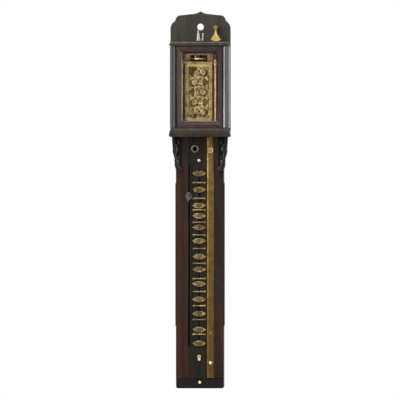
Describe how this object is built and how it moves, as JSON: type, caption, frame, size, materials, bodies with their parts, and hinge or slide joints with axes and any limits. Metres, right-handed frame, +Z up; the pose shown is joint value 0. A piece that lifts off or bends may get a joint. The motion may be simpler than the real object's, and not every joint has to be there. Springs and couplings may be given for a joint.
{
  "type": "pillar clock",
  "caption": "Wall-hung pillar clock: a glazed hood with a verge movement over a slim trunk, where a weight's pointer falls past a scale of movable hour plaques.",
  "frame": {"origin": "centre of the hanging hole in the plane of the back, where it meets the wall", "axes": "+Z up along the trunk, -Y out of the front of the clock, +X to the viewer's right"},
  "size_m": [0.0796, 0.067, 0.4911],
  "materials": {
    "black_wood": "satin dark stained hardwood",
    "rosewood": "satin red-brown rosewood",
    "plain_wood": "plain",
    "brass": "aged satin",
    "gilt_brass": "engraved, worn",
    "steel": "dull",
    "iron": "browned",
    "line": "twisted silk",
    "glass": "clear"
  },
  "bodies": {
    "root": {"backboard": "black_wood", "trunk_sides": "rosewood", "side_battens": "black_wood", "front_stiles": "rosewood", "brackets": "black_wood", "trunk_floors": "black_wood", "seatboard": "plain_wood", "scale_panel": "black_wood", "panel_studs": "brass", "winding_collar": "steel", "key_peg": "brass", "hanger_legs": "steel", "movement_plates": "brass", "corner_pillars": "brass", "arbor_bars": "brass", "front_plate": "brass", "balance_cock": "brass"},
    "hood": {"hood_base": "black_wood", "hood_cornice": "black_wood", "hood_sides": "black_wood"},
    "door": {"door_frame": "rosewood", "door_glass": "glass"},
    "drawer": {"drawer": "black_wood", "drawer_knob": "brass"},
    "lock_bar": {"lock_bar": "brass", "lock_bar_studs": "brass"},
    "key": {"winding_key": "brass"},
    "great_wheel": {"great_wheel": "brass"},
    "second_wheel": {"second_wheel": "brass"},
    "crown_wheel": {"crown_wheel": "brass"},
    "balance": {"verge": "steel", "balance_wheel": "brass"},
    "weight": {"weight": "brass", "pointer": "iron", "weight_line": "line"},
    "hour_plaque_01": {"hour_plaque_01": "gilt_brass"},
    "half_hour_bar_01": {"half_hour_bar_01": "gilt_brass"},
    "hour_plaque_02": {"hour_plaque_02": "gilt_brass"},
    "half_hour_bar_02": {"half_hour_bar_02": "gilt_brass"},
    "hour_plaque_03": {"hour_plaque_03": "gilt_brass"},
    "half_hour_bar_03": {"half_hour_bar_03": "gilt_brass"},
    "hour_plaque_04": {"hour_plaque_04": "gilt_brass"},
    "half_hour_bar_04": {"half_hour_bar_04": "gilt_brass"},
    "hour_plaque_05": {"hour_plaque_05": "gilt_brass"},
    "half_hour_bar_05": {"half_hour_bar_05": "gilt_brass"},
    "hour_plaque_06": {"hour_plaque_06": "gilt_brass"},
    "half_hour_bar_06": {"half_hour_bar_06": "gilt_brass"},
    "hour_plaque_07": {"hour_plaque_07": "gilt_brass"},
    "half_hour_bar_07": {"half_hour_bar_07": "gilt_brass"},
    "hour_plaque_08": {"hour_plaque_08": "gilt_brass"},
    "half_hour_bar_08": {"half_hour_bar_08": "gilt_brass"},
    "hour_plaque_09": {"hour_plaque_09": "gilt_brass"},
    "half_hour_bar_09": {"half_hour_bar_09": "gilt_brass"},
    "hour_plaque_10": {"hour_plaque_10": "gilt_brass"},
    "half_hour_bar_10": {"half_hour_bar_10": "gilt_brass"},
    "hour_plaque_11": {"hour_plaque_11": "gilt_brass"},
    "half_hour_bar_11": {"half_hour_bar_11": "gilt_brass"},
    "hour_plaque_12": {"hour_plaque_12": "gilt_brass"},
    "half_hour_bar_12": {"half_hour_bar_12": "gilt_brass"},
    "hour_plaque_13": {"hour_plaque_13": "gilt_brass"}
  },
  "joints": [
    {"name": "hood_slide", "type": "slide", "parent": "root", "child": "hood", "axis": [0, -1, 0], "range_m": [0, 0.06]},
    {"name": "door_swing", "type": "hinge", "parent": "hood", "child": "door", "pos_m": [-0.0288, -0.0631, -0.07885], "axis": [0, 0, -1], "range_deg": [0, 105]},
    {"name": "drawer_slide", "type": "slide", "parent": "root", "child": "drawer", "axis": [0, -1, 0], "range_m": [0, 0.03]},
    {"name": "lock_bar_slide", "type": "slide", "parent": "root", "child": "lock_bar", "axis": [0, 0, 1], "range_m": [0, 0.008]},
    {"name": "key_swing", "type": "hinge", "parent": "root", "child": "key", "pos_m": [0.0202, -0.013, -0.0011], "axis": [0, 1, 0], "range_deg": [-60, 60]},
    {"name": "crown_wheel_spin", "type": "hinge", "parent": "root", "child": "crown_wheel", "pos_m": [-0.0013, -0.024, -0.08934], "axis": [0, 1, 0], "range_deg": [-3704.6, 20628.9]},
    {"name": "second_wheel_spin", "type": "hinge", "parent": "root", "child": "second_wheel", "pos_m": [-0.00476, -0.024, -0.10136], "axis": [0, 1, 0], "range_deg": [-5157.2, 926.2]},
    {"name": "great_wheel_spin", "type": "hinge", "parent": "root", "child": "great_wheel", "pos_m": [-0.0118, -0.024, -0.1146], "axis": [0, 1, 0], "range_deg": [-231.5, 1289.3]},
    {"name": "weight_slide", "type": "slide", "parent": "root", "child": "weight", "axis": [0, 0, 1], "range_m": [-0.19, 0.034], "deforming": ["weight_line"]},
    {"name": "balance_swing", "type": "hinge", "parent": "root", "child": "balance", "pos_m": [-0.0013, -0.0365, -0.0429], "axis": [0, 0, 1], "range_deg": [-30, 30]},
    {"name": "hour_plaque_01_slide", "type": "slide", "parent": "root", "child": "hour_plaque_01", "axis": [0, 0, 1], "range_m": [-0.0072, 0.00382]},
    {"name": "half_hour_bar_01_slide", "type": "slide", "parent": "root", "child": "half_hour_bar_01", "axis": [0, 0, 1], "range_m": [-0.00439, 0.0072]},
    {"name": "hour_plaque_02_slide", "type": "slide", "parent": "root", "child": "hour_plaque_02", "axis": [0, 0, 1], "range_m": [-0.00651, 0.00439]},
    {"name": "half_hour_bar_02_slide", "type": "slide", "parent": "root", "child": "half_hour_bar_02", "axis": [0, 0, 1], "range_m": [-0.00449, 0.00651]},
    {"name": "hour_plaque_03_slide", "type": "slide", "parent": "root", "child": "hour_plaque_03", "axis": [0, 0, 1], "range_m": [-0.00089, 0.00449]},
    {"name": "half_hour_bar_03_slide", "type": "slide", "parent": "root", "child": "half_hour_bar_03", "axis": [0, 0, 1], "range_m": [-0.00272, 0.00089]},
    {"name": "hour_plaque_04_slide", "type": "slide", "parent": "root", "child": "hour_plaque_04", "axis": [0, 0, 1], "range_m": [-0.0038, 0.00272]},
    {"name": "half_hour_bar_04_slide", "type": "slide", "parent": "root", "child": "half_hour_bar_04", "axis": [0, 0, 1], "range_m": [-0.00168, 0.0038]},
    {"name": "hour_plaque_05_slide", "type": "slide", "parent": "root", "child": "hour_plaque_05", "axis": [0, 0, 1], "range_m": [-0.00521, 0.00168]},
    {"name": "half_hour_bar_05_slide", "type": "slide", "parent": "root", "child": "half_hour_bar_05", "axis": [0, 0, 1], "range_m": [-0.00272, 0.00521]},
    {"name": "hour_plaque_06_slide", "type": "slide", "parent": "root", "child": "hour_plaque_06", "axis": [0, 0, 1], "range_m": [-0.00527, 0.00272]},
    {"name": "half_hour_bar_06_slide", "type": "slide", "parent": "root", "child": "half_hour_bar_06", "axis": [0, 0, 1], "range_m": [-0.0056, 0.00527]},
    {"name": "hour_plaque_07_slide", "type": "slide", "parent": "root", "child": "hour_plaque_07", "axis": [0, 0, 1], "range_m": [-0.00413, 0.0056]},
    {"name": "half_hour_bar_07_slide", "type": "slide", "parent": "root", "child": "half_hour_bar_07", "axis": [0, 0, 1], "range_m": [-0.00279, 0.00413]},
    {"name": "hour_plaque_08_slide", "type": "slide", "parent": "root", "child": "hour_plaque_08", "axis": [0, 0, 1], "range_m": [-0.0074, 0.00279]},
    {"name": "half_hour_bar_08_slide", "type": "slide", "parent": "root", "child": "half_hour_bar_08", "axis": [0, 0, 1], "range_m": [-0.0019, 0.0074]},
    {"name": "hour_plaque_09_slide", "type": "slide", "parent": "root", "child": "hour_plaque_09", "axis": [0, 0, 1], "range_m": [-0.0054, 0.0019]},
    {"name": "half_hour_bar_09_slide", "type": "slide", "parent": "root", "child": "half_hour_bar_09", "axis": [0, 0, 1], "range_m": [-0.00521, 0.0054]},
    {"name": "hour_plaque_10_slide", "type": "slide", "parent": "root", "child": "hour_plaque_10", "axis": [0, 0, 1], "range_m": [-0.00351, 0.00521]},
    {"name": "half_hour_bar_10_slide", "type": "slide", "parent": "root", "child": "half_hour_bar_10", "axis": [0, 0, 1], "range_m": [-0.0054, 0.00351]},
    {"name": "hour_plaque_11_slide", "type": "slide", "parent": "root", "child": "hour_plaque_11", "axis": [0, 0, 1], "range_m": [-0.00308, 0.0054]},
    {"name": "half_hour_bar_11_slide", "type": "slide", "parent": "root", "child": "half_hour_bar_11", "axis": [0, 0, 1], "range_m": [-0.00812, 0.00308]},
    {"name": "hour_plaque_12_slide", "type": "slide", "parent": "root", "child": "hour_plaque_12", "axis": [0, 0, 1], "range_m": [-0.00128, 0.00812]},
    {"name": "half_hour_bar_12_slide", "type": "slide", "parent": "root", "child": "half_hour_bar_12", "axis": [0, 0, 1], "range_m": [-0.00691, 0.00128]},
    {"name": "hour_plaque_13_slide", "type": "slide", "parent": "root", "child": "hour_plaque_13", "axis": [0, 0, 1], "range_m": [-0.00481, 0.00691]}
  ],
  "couplings": [
    {"joint": "crown_wheel_spin", "follows": "weight_slide", "rad_per_m": -1893.5},
    {"joint": "second_wheel_spin", "follows": "weight_slide", "rad_per_m": 473.37},
    {"joint": "great_wheel_spin", "follows": "weight_slide", "rad_per_m": -118.34}
  ]
}
